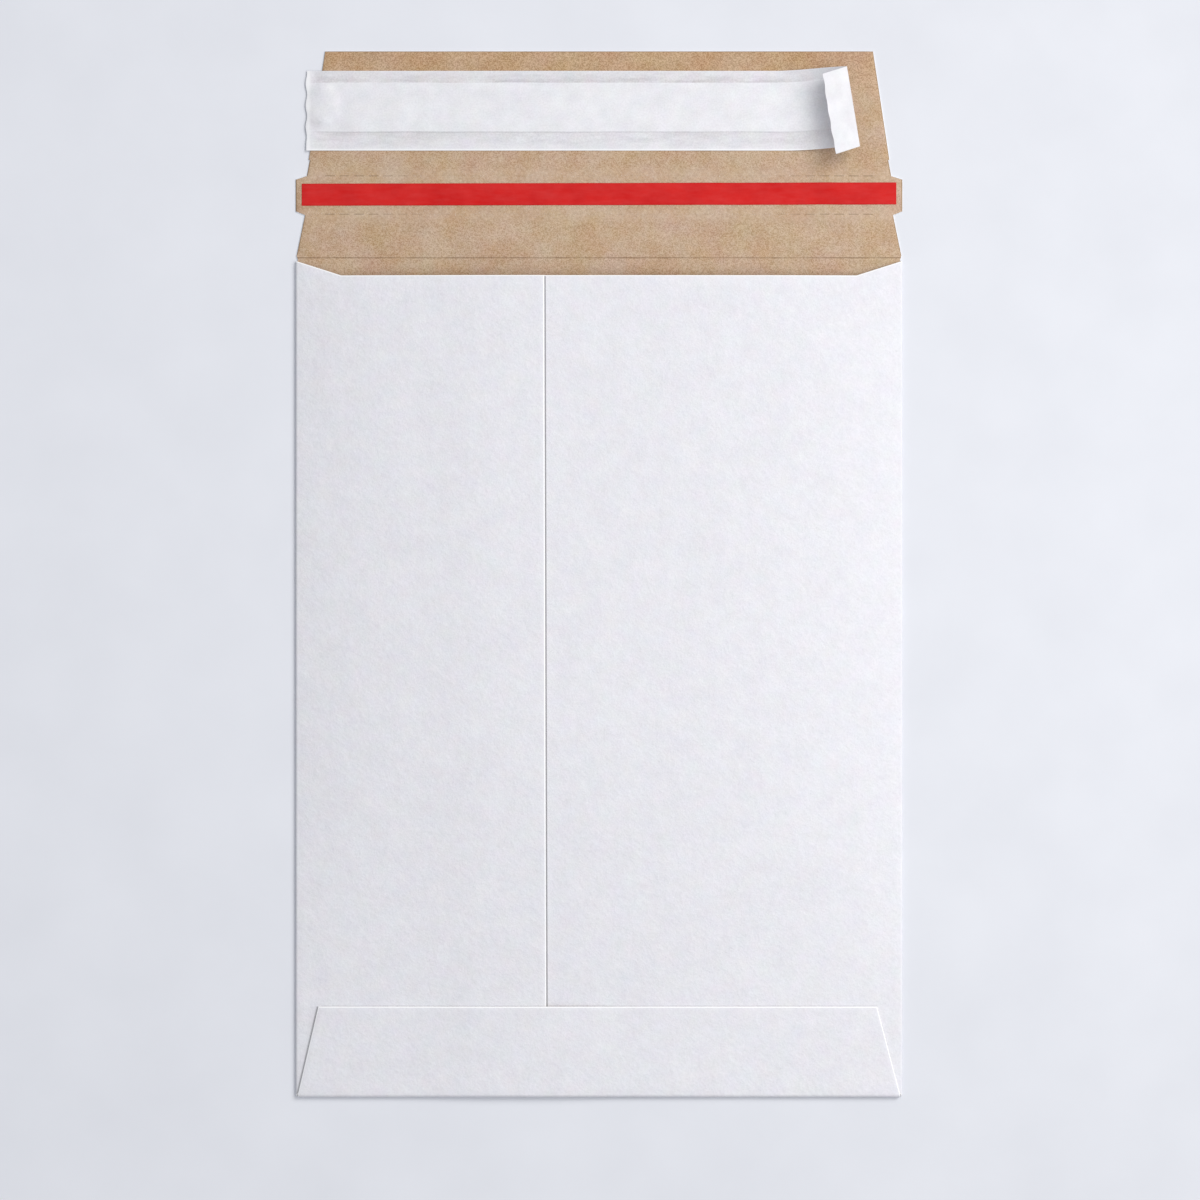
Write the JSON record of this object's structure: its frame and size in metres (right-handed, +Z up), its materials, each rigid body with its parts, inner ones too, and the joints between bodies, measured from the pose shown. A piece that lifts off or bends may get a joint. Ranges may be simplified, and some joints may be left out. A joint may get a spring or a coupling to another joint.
{
  "type": "calendar envelope",
  "caption": "Solid board calendar envelope, white outside and kraft inside, lying open, with a glued seam, tear tape and an adhesive closing flap.",
  "frame": {"origin": "on the floor, under the middle of the open envelope's outline, tabs and flap included", "axes": "+X to the right seen from above with the flap away from the viewer, +Y from the bottom fold towards the closing flap, +Z up out of the back with its seam; the plain front panel lies on the floor"},
  "size_m": [0.2502, 0.4312, 0.0125],
  "materials": {
    "board": "matte",
    "tear_tape": "satin",
    "adhesive": "gloss",
    "release_liner": "satin",
    "glue": "matte"
  },
  "bodies": {
    "envelope": {"pocket": "board", "seam_glue": "glue", "bottom_glue_left": "glue", "bottom_glue_right": "glue"},
    "flap": {"closing_flap": "board", "tear_tape": "tear_tape", "adhesive_band": "adhesive", "release_liner": "release_liner"}
  },
  "joints": [
    {"name": "flap_hinge", "type": "hinge", "parent": "envelope", "child": "flap", "pos_m": [0, 0.1304, 0.0006], "axis": [1, 0, 0], "range_deg": [0, 137]}
  ]
}
